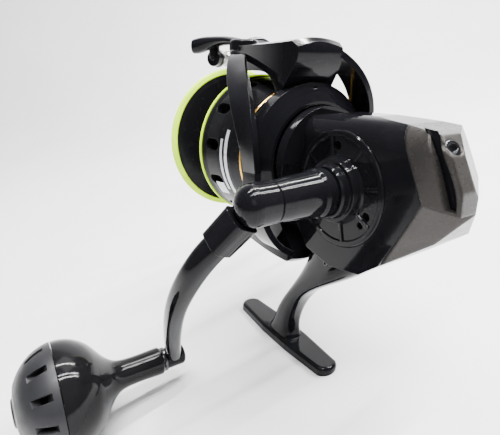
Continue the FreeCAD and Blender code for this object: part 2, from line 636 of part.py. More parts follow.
def roller_pin():
    pin = Part.makeCylinder(1.08, 16.6, ROLLER_AT - ROLLER_AXIS * 8.6, ROLLER_AXIS)
    base = Part.makeCone(3.8, 1.9, 5.0, ROLLER_AT + ROLLER_AXIS * 4.8, ROLLER_AXIS)
    return joined(pin, base)


def wire_point(phi):
    """Half loop of the bail: phi is 90 at the top end, 0 at the middle, -90 at the bottom end."""
    angle = math.radians(phi)
    reach = math.cos(angle)
    rise = math.copysign(abs(math.sin(angle)) ** 0.55, angle)
    return V(94.0 + 13.0 * reach, -1.5 - 51.0 * reach, 50.5 * rise)


def bail_wire():
    top = [ROLLER_AT + ROLLER_AXIS * 8.9, V(101.5, -13.5, 45.6)]
    loop = [wire_point(phi) for phi in (66, 54, 40, 24, 8, -8, -24, -40, -54, -66)]
    bottom = [V(90.0, -13.0, -48.2), V(83.5, -4.4, -45.6)]
    path = top + loop + bottom
    spline = Part.BSplineCurve()
    spline.interpolate(path)
    wires = []
    for index in range(25):
        position = spline.FirstParameter + (spline.LastParameter - spline.FirstParameter) * index / 24
        tangent = spline.tangent(position)[0]
        circle = Part.makeCircle(BAIL_WIRE_R, spline.value(position), tangent)
        wires.append(Part.Wire([circle]))
    return Part.makeLoft(wires, True, False).cut(roller_pin())


def bail_lever():
    disc = cyl_z(-46.0, -41.5, 6.0, BAIL_X, 0)
    disc = disc.makeFillet(1.4, [e for e in disc.Edges if e.BoundBox.ZMax < -45.9])
    reach = tapered_bar([(V(79.5, -1.6, -44.6), V(1, -0.9, 0), 4.0, 1.3),
                         (V(86.0, -7.6, -46.2), V(1, -0.9, -0.25), 2.7, 2.4)])
    holes = [cyl_z(-44.4, -36, 1.6, BAIL_X, 0), cyl_z(-50, -44.4, 2.7, BAIL_X, 0)]
    return less(joined(disc, reach), bail_wire(), *holes)


def bail_pivot_screws():
    top = socket_screw(V(BAIL_X, 0, 44.5), V(0, 0, 1), 2.6, 1.4, 1.52, 7.2)
    return [top, half_turned(top)]


# --- spool and drag ---------------------------------------------------------------------------
def spool():
    profile = [(SPOOL_REAR_X + 1.0, SPOOL_REAR_R - 1.6), (SPOOL_REAR_X + 1.0, SPOOL_REAR_R - 0.1),
               (44, 27.6), (52, 28.9), (59.6, 29.9), (61.8, 30.5), (62.6, SPOOL_FLANGE_R - 0.6),
               (64.4, SPOOL_FLANGE_R - 0.6), (65.6, 28.4), (66.2, ARBOUR_R), (84.4, ARBOUR_R + 0.8),
               (86.2, 29.5), (87.4, 32.3), (88.2, 32.3), (88.9, 30.6), (88.4, 19.0),
               (76.4, 17.6), (73.0, 17.4),
               (73.0, 5.6), (64.2, 5.6), (64.2, 8.0), (70.4, 8.4), (70.4, 18.2), (66.0, 18.6), (62.4, 27.6),
               (52, 27.2), (44, 25.8)]
    body = turned_x(profile)
    window_half = 2.3
    front, rear = 57.5, 53.5
    slot = joined(cyl_z(24, 32, window_half, front), cyl_z(24, 32, window_half, rear),
                  block(rear, front, -window_half, window_half, 24, 32))
    slots = ring_of(slot, 12, V(0, 0, 0), V(1, 0, 0), 8)
    return less(body, *slots)


def spool_lip_ring():
    half = 1.3
    core = turned_x([(86.9, 31.5), (87.4, 32.35), (88.25, 32.35), (88.65, 31.3), (89.4, 31.8),
                     (89.6, SPOOL_LIP_R - half), (87.0, SPOOL_LIP_R - half), (86.7, 31.9)])
    bead = Part.makeTorus(SPOOL_LIP_R - half, half, V(88.3, 0, 0), V(1, 0, 0))
    return joined(core, bead).cut(spool())


def spool_flange_ring():
    return turned_x([(62.7, SPOOL_FLANGE_R - 0.58), (62.7, SPOOL_FLANGE_R), (63.7, SPOOL_FLANGE_R),
                     (63.7, SPOOL_FLANGE_R - 0.58)])


def spool_rear_ring():
    return turned_x([(SPOOL_REAR_X, SPOOL_REAR_R - 1.6), (SPOOL_REAR_X, SPOOL_REAR_R - 0.2),
                     (SPOOL_REAR_X + 0.4, SPOOL_REAR_R), (SPOOL_REAR_X + 0.98, SPOOL_REAR_R),
                     (SPOOL_REAR_X + 0.98, SPOOL_REAR_R - 1.6)])


def drag_washers():
    discs = []
    for index in range(6):
        x = 73.1 + 1.15 * index
        outer = 16.2 if index % 2 else 15.4
        discs.append(tube_x(x, x + 1.0, outer, SHAFT_R + 0.4))
    return discs


def drag_retaining_clip():
    ring = Part.makeTorus(16.9, 0.45, V(80.7, 0, 0), V(1, 0, 0))
    return ring.cut(block(79, 82, -2.5, 2.5, 10, 20))


def drag_knob():
    body = turned_x([(82.4, 2.3), (82.4, 13.4), (83.0, 14.6), (91.0, 15.0), (93.6, 14.2), (96.4, 11.5),
                     (97.2, 8.0), (97.2, 0), (94.4, 0), (94.4, 2.3), (90.2, 2.3), (90.2, 5.2),
                     (84.0, 5.2), (84.0, 2.3)])
    scallop = cyl_x(80, 100, 2.2)
    scallop.translate(V(0, 0, 16.3))
    return less(body, *ring_of(scallop, 12, V(0, 0, 0), V(1, 0, 0)))


# --- handle -------------------------------------------------------------------------------------
HANDLE_DIR = V(math.sin(math.radians(HANDLE_ANGLE)), 0, -math.cos(math.radians(HANDLE_ANGLE)))
HANDLE_SIDE = V(HANDLE_DIR.z, 0, -HANDLE_DIR.x)
KNOB_X = HANDLE_DIR.x * HANDLE_RADIUS
KNOB_Z = HANDLE_Z + HANDLE_DIR.z * HANDLE_RADIUS


def handle_point(along, y):
    return V(0, y, HANDLE_Z) + HANDLE_DIR * along


def handle_barrel():
    tube = turned_y([(17.5, 0), (17.5, BARREL_BASE_R), (18.2, BARREL_BASE_R + 0.4),
                     (21.0, BARREL_BASE_R + 0.4),
                     (22.0, BARREL_BASE_R - 0.2), (33.0, BARREL_END_R + 0.4), (37.0, BARREL_END_R),
                     (37.2, BARREL_END_R - 0.3), (37.2, 0)], 0, HANDLE_Z)
    stem = cyl_y(3.4, 17.6, 2.35, 0, HANDLE_Z)
    return joined(tube, stem)


def handle_seal():
    return tube_y(17.25, 17.45, 7.2, 4.2, 0, HANDLE_Z)


def handle_cap():
    profile = [(37.3, 0), (37.3, DOME_R - 0.3), (37.9, DOME_R)]
    for index in range(9):
        angle = math.radians(90.0 * index / 8)
        profile.append((DOME_Y + 1.2 + (DOME_R - 1.2) * math.sin(angle), DOME_R * math.cos(angle)))
    return turned_y(profile, 0, HANDLE_Z)


ARM_PATH = [(5.5, 46.2, 5.0, 5.2), (16.0, 52.0, 4.9, 4.7)]
ARM_CURVE = [(16.1, 52.05, 4.1, 4.0), (24.0, 55.9, 4.1, 4.0), (34.0, 58.6, 4.0, 3.9),
             (47.0, 60.2, 3.8, 3.6),
             (60.0, 59.8, 3.6, 3.4), (76.0, 57.8, 3.5, 3.2), (92.0, 54.8, 3.6, 3.2)]


def arm_loft(stations, power):
    """Loft along the handle: (distance from the handle axis, y, half width, half thickness)."""
    wires = []
    for index, (along, y, half_width, half_thick) in enumerate(stations):
        before = stations[max(index - 1, 0)]
        after = stations[min(index + 1, len(stations) - 1)]
        run = (handle_point(after[0], after[1]) - handle_point(before[0], before[1])).normalize()
        thick = run.cross(HANDLE_SIDE).normalize()
        centre = handle_point(along, y)
        points = []
        for step in range(20):
            angle = 2 * math.pi * step / 20
            c = math.copysign(abs(math.cos(angle)) ** power, math.cos(angle))
            s = math.copysign(abs(math.sin(angle)) ** power, math.sin(angle))
            points.append(centre + HANDLE_SIDE * (half_width * c) + thick * (half_thick * s))
        curve = Part.BSplineCurve()
        curve.interpolate(points, PeriodicFlag=True)
        wires.append(Part.Wire([curve.toShape()]))
    return Part.makeLoft(wires, True, False)


def handle_sleeve():
    return arm_loft(ARM_PATH, 0.5).cut(handle_cap())


def handle_arm():
    arm = arm_loft(ARM_CURVE, 0.7)
    eye = cyl_y(50.2, 58.6, 4.5, KNOB_X, KNOB_Z)
    rims = [edge for edge in eye.Edges if edge.BoundBox.YLength < 0.01]
    eye = eye.makeFillet(1.6, [edge for edge in rims if abs(edge.BoundBox.YMin - 50.2) < 0.01])
    return less(joined(arm, eye), cyl_y(51.6, 60, KNOB_PIN_R, KNOB_X, KNOB_Z), handle_sleeve())


def knob_shaft():
    pin = cyl_y(51.7, 112.4, KNOB_PIN_R - 0.02, KNOB_X, KNOB_Z)
    return joined(pin, cyl_y(112.0, 113.2, 3.4, KNOB_X, KNOB_Z))


def knob_washer():
    return tube_y(58.7, 59.7, 5.0, KNOB_PIN_R, KNOB_X, KNOB_Z)


def knob_curve(y):
    """Radius of the round grip at a station along its axis."""
    half = KNOB_END_Y - KNOB_Y + 0.8
    return KNOB_R * math.sqrt(max(0.0, 1 - ((y - KNOB_Y) / half) ** 2))


def turned_knob(runs):
    """Solid of revolution about the knob's axis of (y, r) runs."""
    wire = outline_wire(runs, lambda pair: V(pair[1], pair[0], 0))
    solid = Part.Face(wire).revolve(V(0, 0, 0), V(0, 1, 0), 360)
    solid.translate(V(KNOB_X, 0, KNOB_Z))
    return solid


def straight_runs(points):
    return [[points[index], points[index + 1]] for index in range(len(points) - 1)]


def knob_inner():
    """Glossy half: a neck that flares into the round grip, hollow behind its parting face."""
    face_y = KNOB_PART_Y - KNOB_GAP
    skin = [(61.0, 5.7), (68.0, 5.5), (75.0, 5.6), (79.0, 6.4), (81.6, 8.2)]
    skin += [(y, knob_curve(y)) for y in (85.0, 88.0, 92.0, 96.0, KNOB_Y, face_y)]
    inside = [skin[-1], (face_y, 18.4), (92.0, 16.4), (87.0, 10.0), (87.0, 7.4), (face_y, 7.4),
              (face_y, 3.0), (KNOB_NECK_Y, 3.0), (KNOB_NECK_Y, 5.2), skin[0]]
    shape = turned_knob([skin] + straight_runs(inside))
    return shape.cut(cyl_y(KNOB_NECK_Y - 1, 65.2, 4.02, KNOB_X, KNOB_Z))


def knob_outer():
    """Satin half: the round end with a ring of slots and a seat for the end cap."""
    face_y = KNOB_PART_Y + KNOB_GAP
    skin = [(y, knob_curve(y)) for y in (face_y, 103.5, 106.5, 109.5, 112.0, 114.0, 115.4)]
    end_y = KNOB_END_Y - 0.4
    inside = [skin[-1], (end_y, 6.3), (end_y, 5.6), (109.0, 5.6), (109.0, 3.0), (face_y, 3.0),
              (face_y, 7.4), (112.0, 7.4), (107.5, 15.6), (face_y, 18.4), skin[0]]
    shape = turned_knob([skin] + straight_runs(inside))
    shape = shape.cut(cyl_y(105.6, 112, 4.02, KNOB_X, KNOB_Z))
    slot = block(-1.25, 1.25, 104.3, 111.2, 16.2, 30)
    slot.rotate(V(0, 107.7, 19), V(1, 0, 0), 22)
    slot.translate(V(KNOB_X, 0, KNOB_Z))
    return less(shape, *ring_of(slot, KNOB_SLOTS, V(KNOB_X, 0, KNOB_Z), V(0, 1, 0), 10))


def knob_end_cap():
    profile = [(114.0, 0), (114.0, 5.5), (KNOB_END_Y - 0.2, 5.5), (KNOB_END_Y + 0.3, 4.9),
               (KNOB_END_Y + 0.3, 2.4), (KNOB_END_Y - 0.5, 2.0), (KNOB_END_Y - 0.5, 0)]
    return turned_y(profile, KNOB_X, KNOB_Z)


# --- everything is written ----------------------------------------------------------------------
def build_frame():
    save("body_housing", body_housing())
    save("rear_cover", rear_cover())
    save("rear_cover_screw", *rear_cover_screws())
    save("engine_plate", engine_plate())
    save("engine_plate_seal", Part.makeTorus(PLATE_BORE_R - 1.0, 0.4, V(0, 8.25, HANDLE_Z), V(0, 1, 0)))
    save("drive_gear_bearing_right", ball_bearing(8.8, 11.6, 8.0, 4.0 + RUN, z=HANDLE_Z))
    save("drive_gear_bearing_left", ball_bearing(-11.9, -9.3, 6.0, 2.9 + RUN, z=HANDLE_Z))
    save("left_bearing_cap", turned_y([(-12.2, 0), (-12.2, 5.9), (-13.5, 5.9), (-13.5, 9.0), (-14.6, 8.4),
                                       (-15.2, 6.0), (-15.2, 0)], 0, HANDLE_Z))
    save("pinion_bearing_rear", ball_bearing(17.5, 20.8, 6.5, 3.4 + RUN, along="x"))
    save("pinion_bearing_front", ball_bearing(31.8, 34.6, 9.95, 3.4 + RUN, along="x"))
    shell, rollers = roller_clutch()
    save("one_way_clutch", *shell)
    save("clutch_rollers", *rollers)
    save("clutch_retainer", tube_x(34.8, 36.4, 11.4, 5.0))
    save("slider_guide_rod", cyl_x(GUIDE_BACK_X, 16.6, GUIDE_R, GUIDE_Y, GUIDE_Z))
    save("body_side_screw", socket_screw(V(6.0, 8.6, -35.0), V(0, 1, 0), 1.0, 0.7, 0.95, 2.4))


def build_drive():
    save("drive_gear", drive_gear())
    save("pinion_gear", pinion_gear())
    save("clutch_sleeve", tube_x(23.8, 31.5, 5.55, 3.42))
    save("rotor_nut", less(hex_prism_x(45.1, 48.0, 11.0), cyl_x(40, 50, 3.42)))
    save("worm_shaft", worm_shaft())
    save("worm_gear", less(spur_gear_x(10.2, 13.2, WORM_TEETH, WORM_TIP_R, WORM_ROOT_R, WORM_Y, WORM_Z),
                           cyl_x(0, 20, WORM_R, WORM_Y, WORM_Z)))
    save("main_shaft", main_shaft())
    save("slider_block", slider_block())
    save("slider_pawl", slider_pawl())


def build_idler():
    distance = math.hypot(WORM_Y, WORM_Z)
    reach = PINION_TIP_R + IDLER_TIP_R + 0.12
    y = WORM_Y * reach / distance
    z = WORM_Z * reach / distance
    print("idler axis", round(y, 3), round(z, 3))
    wheel = spur_gear_x(10.2, 13.2, IDLER_TEETH, IDLER_TIP_R, IDLER_ROOT_R, y, z, 11)
    save("idler_gear", less(wheel, cyl_x(0, 20, 1.0 + RUN, y, z)))
    save("idler_pin", cyl_x(9.4, 17.2, 1.0, y, z))


def build_rotor():
    save("rotor", rotor())
    cover = arm_cover()
    save("bail_arm_cover", cover)
    save("counter_arm_cover", half_turned(arm_cover()))
    save("arm_cover_screws", *arm_cover_screws(False), *arm_cover_screws(True))
    save("bail_spring", coil_spring_x(45.0, 58.0, 1.25, 0.3, 10, 0, 40.3))
    save("bail_spring_rod", cyl_x(44.2, 61.5, 0.7, 0, 40.3))
    save("rotor_nut_lock_screw", socket_screw(V(45.15, 0, 7.4), V(1, 0, 0), 0.6, 0.8, 0.5, 0.1))


def build_bail():
    save("bail_arm", bail_arm())
    save("line_roller", line_roller())
    save("roller_pin", roller_pin())
    save("bail_wire", bail_wire())
    save("bail_lever", bail_lever())
    save("bail_pivot_screws", *bail_pivot_screws())


def build_spool():
    save("spool", spool())
    save("spool_lip_ring", spool_lip_ring())
    save("spool_flange_ring", spool_flange_ring())
    save("spool_rear_ring", spool_rear_ring())
    save("spool_bearing", ball_bearing(65.0, 68.0, 5.55, SHAFT_R + RUN, along="x"))
    save("drag_washers", *drag_washers())
    save("drag_retaining_clip", drag_retaining_clip())
    save("drag_knob", drag_knob())
    save("drag_spring", coil_spring_x(84.6, 89.6, 3.9, 0.45, 3))


def build_handle():
    save("handle_barrel", handle_barrel())
    save("handle_barrel_seal", handle_seal())
    save("handle_cap", handle_cap())
    save("handle_sleeve", handle_sleeve())
    save("handle_arm", handle_arm())
    save("knob_shaft", knob_shaft())
    save("knob_washer", knob_washer())
    save("knob_inner", knob_inner())
    save("knob_outer", knob_outer())
    save("knob_end_cap", knob_end_cap())
    save("knob_bearings", ball_bearing(61.6, 64.8, 4.0, KNOB_PIN_R + RUN, x=KNOB_X, z=KNOB_Z),
         ball_bearing(105.8, 108.8, 4.0, KNOB_PIN_R + RUN, x=KNOB_X, z=KNOB_Z))


build_frame()
build_drive()
build_idler()
build_rotor()
build_bail()
build_spool()
build_handle()
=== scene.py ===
"""A spinning reel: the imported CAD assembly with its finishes, a few thin details and a studio."""

import math

import bpy
from mathutils import Matrix, Vector


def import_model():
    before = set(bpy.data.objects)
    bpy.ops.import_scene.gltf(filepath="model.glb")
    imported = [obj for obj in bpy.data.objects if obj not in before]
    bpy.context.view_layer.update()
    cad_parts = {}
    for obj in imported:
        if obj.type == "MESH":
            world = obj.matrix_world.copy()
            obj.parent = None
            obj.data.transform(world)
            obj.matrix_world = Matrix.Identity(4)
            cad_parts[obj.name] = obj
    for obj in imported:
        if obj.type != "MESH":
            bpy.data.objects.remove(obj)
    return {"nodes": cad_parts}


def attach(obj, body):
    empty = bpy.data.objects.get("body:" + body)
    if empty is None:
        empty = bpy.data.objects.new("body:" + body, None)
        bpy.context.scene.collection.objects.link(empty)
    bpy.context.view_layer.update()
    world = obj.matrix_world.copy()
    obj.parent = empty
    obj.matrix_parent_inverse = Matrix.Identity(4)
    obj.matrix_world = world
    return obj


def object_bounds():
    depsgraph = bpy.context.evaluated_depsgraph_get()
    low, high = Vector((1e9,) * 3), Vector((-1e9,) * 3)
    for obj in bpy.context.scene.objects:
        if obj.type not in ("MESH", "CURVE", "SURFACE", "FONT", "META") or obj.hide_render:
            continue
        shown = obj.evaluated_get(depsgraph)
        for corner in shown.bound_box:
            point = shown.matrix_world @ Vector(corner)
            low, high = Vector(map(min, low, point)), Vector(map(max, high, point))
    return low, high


MM = 0.001

# Camera: where it stands and how it is turned, in the row frame.
CAMERA_AT = Vector((-0.1395, 0.1048, 0.1215))
CAMERA_RIGHT = Vector((-0.5249, -0.8512, -0.0072))
CAMERA_UP = Vector((0.2740, -0.1769, 0.9453))
SENSOR_WIDTH = 36.0
LENS = 29.7

# The reel rests on its foot's edge and on the knob, so the floor leans against the row frame.
FLOOR_POINT = Vector((0.0, 0.0068, -0.0004))
FLOOR_NORMAL = Vector((0.0, 0.172, 0.985)).normalized()
FLOOR_HALF = 2.4
WALL_AWAY = 0.85
COVE_RADIUS = 0.30
WALL_TALL = 1.6

# Ceiling tubes, parallel to the crank's axis: name, place along the shaft, power and colour.
TUBES = (("ceiling_tube_near", -0.34, 24.0, (1.0, 0.99, 0.95)),
         ("ceiling_tube_mid", -0.22, 24.0, (0.93, 0.95, 1.0)),
         ("ceiling_tube_far", 0.16, 30.0, (1.0, 0.99, 0.96)))
TUBE_Y = -0.15
TUBE_Z = 0.95
TUBE_SIZE = (0.028, 1.35)

EDGE_RADIUS = 0.40 * MM     # soft edges that catch the light
EDGE_SAMPLES = 4

# Finishes by the record's material slot.
FINISHES = {
    "gloss_black_metal": dict(colour=(0.0045, 0.0045, 0.0055), metallic=0.0, rough=0.05, spread=0.03,
                              specular=0.22, coat=0.0, grain=900, bump=0.05),
    "gloss_black_resin": dict(colour=(0.0040, 0.0040, 0.0050), metallic=0.0, rough=0.07, spread=0.04,
                              specular=0.20, coat=0.0, grain=700, bump=0.07),
    "satin_grey_metal": dict(colour=(0.036, 0.033, 0.031), metallic=0.35, rough=0.26, spread=0.06,
                             specular=0.35, coat=0.0, grain=1600, bump=0.08, edge=1.3 * MM),
    "knob_gloss": dict(colour=(0.0050, 0.0048, 0.0055), metallic=0.0, rough=0.07, spread=0.04,
                       specular=0.24, coat=0.0, grain=600, bump=0.05),
    "knob_satin": dict(colour=(0.020, 0.020, 0.022), metallic=0.30, rough=0.36, spread=0.10,
                       specular=0.45, coat=0.0, grain=1500, bump=0.14),
    "spool_black": dict(colour=(0.0060, 0.0060, 0.0070), metallic=0.2, rough=0.20, spread=0.10,
                        specular=0.22, coat=0.0, grain=1200, bump=0.08),
    # The lime rings carry a painted glow: a faint emission in their own colour that makes them read
    # bright, though they are no lamp.
    "lime_ring": dict(colour=(0.62, 0.98, 0.0), metallic=0.0, rough=0.34, spread=0.08,
                      specular=0.20, coat=0.0, grain=1300, bump=0.06, painted_glow=0.38),
    "gold_ring": dict(colour=(0.66, 0.38, 0.06), metallic=1.0, rough=0.22, spread=0.10,
                      specular=0.50, coat=0.2, grain=1500, bump=0.06),
    "steel": dict(colour=(0.52, 0.53, 0.55), metallic=1.0, rough=0.22, spread=0.12,
                  specular=0.50, coat=0.0, grain=1500, bump=0.08),
    "bright_screw": dict(colour=(0.07, 0.07, 0.075), metallic=1.0, rough=0.20, spread=0.10,
                         specular=0.50, coat=0.0, grain=1800, bump=0.06),
    "gear_alloy": dict(colour=(0.45, 0.44, 0.42), metallic=1.0, rough=0.32, spread=0.12,
                       specular=0.50, coat=0.0, grain=1400, bump=0.12),
    "brass": dict(colour=(0.56, 0.41, 0.16), metallic=1.0, rough=0.28, spread=0.12,
                  specular=0.50, coat=0.0, grain=1400, bump=0.08),
    "wire_black": dict(colour=(0.060, 0.060, 0.065), metallic=0.9, rough=0.15, spread=0.08,
                       specular=0.50, coat=0.2, grain=1600, bump=0.05),
    "roller_titanium": dict(colour=(0.26, 0.255, 0.25), metallic=1.0, rough=0.24, spread=0.10,
                            specular=0.50, coat=0.0, grain=1600, bump=0.08),
    "seal_rubber": dict(colour=(0.012, 0.012, 0.012), metallic=0.0, rough=0.62, spread=0.14,
                        specular=0.40, coat=0.0, grain=1100, bump=0.20),
    "drag_felt": dict(colour=(0.14, 0.10, 0.065), metallic=0.0, rough=0.88, spread=0.08,
                      specular=0.30, coat=0.0, grain=2200, bump=0.40),
}
STRIPE_FINISH = dict(colour=(0.58, 0.60, 0.62), metallic=0.3, rough=0.30, spread=0.10,
                     specular=0.50, coat=0.0, grain=1500, bump=0.05)
PAINT_IOR = 1.36
COAT_ROUGHNESS = 0.04

# The main shaft's axis above the handle's axis, in the row frame: details are placed from here.
SHAFT_ORIGIN = Vector((-42.2, 0.0, 90.8)) * MM

# Painted shade in the rear cover's slot, a dark band: its two edges as (x, z) in mm, and its height off
# the slot's floor.
SLOT_EDGE_FRONT = ((-27.9, 17.5), (-31.4, 12.4), (-34.4, 6.6), (-36.7, 1.4), (-38.3, -1.8))
SLOT_EDGE_BACK = ((-41.2, -1.7), (-40.2, 3.1), (-37.8, 7.8), (-34.7, 12.6), (-31.9, 17.0))
SLOT_FLOOR = 8.42 * MM      # from the reel's middle plane, just clear of the slot's floor
SLOT_FILL = 0.7 * MM
SLOT_EDGE_SHARE = 0.35      # the band's height at its edges, as a share of its height in the middle
SLOT_ACROSS = 5
SLOT_STEPS = 8

# Pale stripes printed on the spool's skirt: start and end along the shaft, start and end angle.
SKIRT_STRIPES = ((45.5, 47.3, -38, 22), (48.6, 50.0, -30, 14), (51.4, 57.0, -36, -24))
# The skirt's outside as (distance along the shaft, radius) in mm.
SKIRT_PROFILE = ((44.0, 27.6), (52.0, 28.9), (59.6, 29.9))
STRIPE_SINK = 0.05 * MM
STRIPE_PROUD = 0.06 * MM
STRIPE_ROWS = 25
STRIPE_COLUMNS = 4

# How every finish varies: clouds in the tint, dust in the gloss, and a fine grain in the surface.
WEAR_SCALE = 60
WEAR_DETAIL = 6
WEAR_SWIRL = 0.4
DUST_SCALE = 260
GRAIN_DETAIL = 2.0
GRAIN_DEPTH = 0.12 * MM
TINT_DARKER = 0.78
TINT_LIGHTER = 1.28
RAMP_DARK_AT = 0.25
RAMP_LIGHT_AT = 0.75
NOISE_LOW = 0.3
NOISE_HIGH = 0.7

# The studio's paper.
PAPER_ROUGHNESS = 0.55
PAPER_SCALE = 9.0
PAPER_DETAIL = 8.0
PAPER_DARK = (0.70, 0.70, 0.71)
PAPER_LIGHT = (0.77, 0.77, 0.78)
COVE_STEPS = 16

# Soft lights and the air: place, size in metres, and power.
SOFT_AT = (0.25, -0.35, 1.35)
SOFT_SIZE = (0.8, 0.8)
SOFT_POWER = 9.0
FILL_AT = (-0.75, 0.75, 0.65)
FILL_SIZE = (0.5, 0.5)
FILL_POWER = 1.2
AIR_COLOUR = (0.82, 0.83, 0.86, 1.0)
AIR_STRENGTH = 0.36
CLIP_START = 0.01
CLIP_END = 20.0


def noise(tree, source, scale, detail, distortion=0.0):
    node = tree.nodes.new("ShaderNodeTexNoise")
    node.inputs["Scale"].default_value = scale
    node.inputs["Detail"].default_value = detail
    node.inputs["Distortion"].default_value = distortion
    tree.links.new(source, node.inputs["Vector"])
    return node.outputs["Fac"]


def ranged(tree, value, low, high):
    node = tree.nodes.new("ShaderNodeMapRange")
    node.inputs["From Min"].default_value = NOISE_LOW
    node.inputs["From Max"].default_value = NOISE_HIGH
    node.inputs["To Min"].default_value = low
    node.inputs["To Max"].default_value = high
    tree.links.new(value, node.inputs["Value"])
    return node.outputs["Result"]


def ramp_colours(tree, value, dark, light):
    node = tree.nodes.new("ShaderNodeValToRGB")
    node.color_ramp.elements[0].position = RAMP_DARK_AT
    node.color_ramp.elements[0].color = (*dark, 1.0)
    node.color_ramp.elements[1].position = RAMP_LIGHT_AT
    node.color_ramp.elements[1].color = (*light, 1.0)
    tree.links.new(value, node.inputs["Fac"])
    return node.outputs["Color"]


def finish_material(name, colour, metallic, rough, spread, specular, coat, grain, bump,
                    painted_glow=0.0, edge=EDGE_RADIUS):
    """Handled paint, resin or metal: cloudy gloss, faint dust, a fine grain in the surface, and an
    optional painted glow that emits in the finish's own colour.
    """
    material = bpy.data.materials.new("finish_" + name)
    material.use_nodes = True
    tree = material.node_tree
    shader = tree.nodes["Principled BSDF"]
    shader.inputs["Metallic"].default_value = metallic
    shader.inputs["Specular IOR Level"].default_value = specular
    shader.inputs["Coat Weight"].default_value = coat
    shader.inputs["Coat Roughness"].default_value = COAT_ROUGHNESS
    shader.inputs["IOR"].default_value = PAINT_IOR
    # Emission paints a glow on a part that is no lamp; only the lime rings turn it up.
    shader.inputs["Emission Color"].default_value = (*colour, 1.0)
    shader.inputs["Emission Strength"].default_value = painted_glow
    place = tree.nodes.new("ShaderNodeTexCoord").outputs["Object"]

    cloud = noise(tree, place, WEAR_SCALE, WEAR_DETAIL, WEAR_SWIRL)
    darker = [c * TINT_DARKER for c in colour]
    lighter = [c * TINT_LIGHTER for c in colour]
    tint = ramp_colours(tree, cloud, darker, lighter)
    tree.links.new(tint, shader.inputs["Base Color"])
    smudge = noise(tree, place, DUST_SCALE, WEAR_DETAIL)
    tree.links.new(ranged(tree, smudge, rough - spread / 2, rough + spread), shader.inputs["Roughness"])

    grains = noise(tree, place, grain, GRAIN_DETAIL)
    relief = tree.nodes.new("ShaderNodeBump")
    relief.inputs["Strength"].default_value = bump
    relief.inputs["Distance"].default_value = GRAIN_DEPTH
    tree.links.new(grains, relief.inputs["Height"])
    edges = tree.nodes.new("ShaderNodeBevel")
    edges.samples = EDGE_SAMPLES
    edges.inputs["Radius"].default_value = edge
    tree.links.new(edges.outputs["Normal"], relief.inputs["Normal"])
    tree.links.new(relief.outputs["Normal"], shader.inputs["Normal"])
    return material


def slot_of(node_object):
    """The record's slot that an imported CAD node was given."""
    return node_object.data.materials[0].name.split(".")[0]


def paint_frame(frame, finishes):
    for node in frame["nodes"].values():
        slot = slot_of(node)
        node.data.materials.clear()
        node.data.materials.append(finishes[slot])


def smooth_run(points, steps):
    """Points along a Catmull-Rom curve through (x, z) pairs."""
    padded = [points[0], *points, points[-1]]
    run = []
    for before, start, end, after in zip(padded, padded[1:], padded[2:], padded[3:]):
        for step in range(steps):
            t = step / steps
            weights = (0.5 * (-t + 2 * t ** 2 - t ** 3),
                       0.5 * (2 - 5 * t ** 2 + 3 * t ** 3),
                       0.5 * (t + 4 * t ** 2 - 3 * t ** 3),
                       0.5 * (-t ** 2 + t ** 3))
            around = (before, start, end, after)
            run.append(tuple(sum(w * p[axis] for w, p in zip(weights, around)) for axis in (0, 1)))
    run.append(points[-1])
    return run


def sheet_faces(rows, columns):
    """Quads between neighbouring points of a grid that is listed row by row."""
    faces = []
    for row in range(rows - 1):
        for column in range(columns - 1):
            first = row * columns + column
            faces.append((first, first + 1, first + columns + 1, first + columns))
    return faces


def rim_loop(rows, columns):
    """Indices around the outside of the same grid, in order."""
    left = [row * columns for row in range(rows)]
    bottom = [(rows - 1) * columns + column for column in range(1, columns)]
    right = [row * columns + columns - 1 for row in reversed(range(rows - 1))]
    top = list(reversed(range(1, columns - 1)))
    return left + bottom + right + top


def add_slab(name, lower, upper, rows, columns, finish, body):
    """Closed thin piece between two grids of points, fixed to one body."""
    layer = len(lower)
    faces = [tuple(reversed(face)) for face in sheet_faces(rows, columns)]
    faces += [tuple(layer + index for index in face) for face in sheet_faces(rows, columns)]
    rim = rim_loop(rows, columns)
    faces += [(a, b, layer + b, layer + a) for a, b in zip(rim, rim[1:] + rim[:1])]
    mesh = bpy.data.meshes.new(name)
    mesh.from_pydata(lower + upper, [], faces)
    mesh.materials.append(finish)
    slab = bpy.data.objects.new(name, mesh)
    bpy.context.scene.collection.objects.link(slab)
    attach(slab, body)


def add_slot_painted_shade(finish):
    """Dark crowned band that paints the shade inside the slot in the rear cover."""
    front = smooth_run(SLOT_EDGE_FRONT, SLOT_STEPS)
    back = smooth_run(tuple(reversed(SLOT_EDGE_BACK)), SLOT_STEPS)
    lower, upper = [], []
    for near, far in zip(front, back):
        for column in range(SLOT_ACROSS):
            share = column / (SLOT_ACROSS - 1)
            x, z = (n * (1 - share) + f * share for n, f in zip(near, far))
            crown = SLOT_EDGE_SHARE + (1 - SLOT_EDGE_SHARE) * math.sin(math.pi * share)
            spot = SHAFT_ORIGIN + Vector((x * MM, SLOT_FLOOR, z * MM))
            lower.append(spot)
            upper.append(spot + Vector((0.0, SLOT_FILL * crown, 0.0)))
    add_slab("rear_slot_painted_shade", lower, upper, len(front), SLOT_ACROSS, finish, "frame")


def skirt_radius(x):
    """Outside radius of the spool's skirt at a distance along the shaft, in mm."""
    for (start, low), (end, high) in zip(SKIRT_PROFILE, SKIRT_PROFILE[1:]):
        if x <= end:
            return low + (high - low) * (x - start) / (end - start)
    return SKIRT_PROFILE[-1][1]


def skirt_point(x, degrees, proud):
    radius = skirt_radius(x) * MM + proud
    turn = math.radians(degrees)
    return SHAFT_ORIGIN + Vector((x * MM, radius * math.cos(turn), radius * math.sin(turn)))


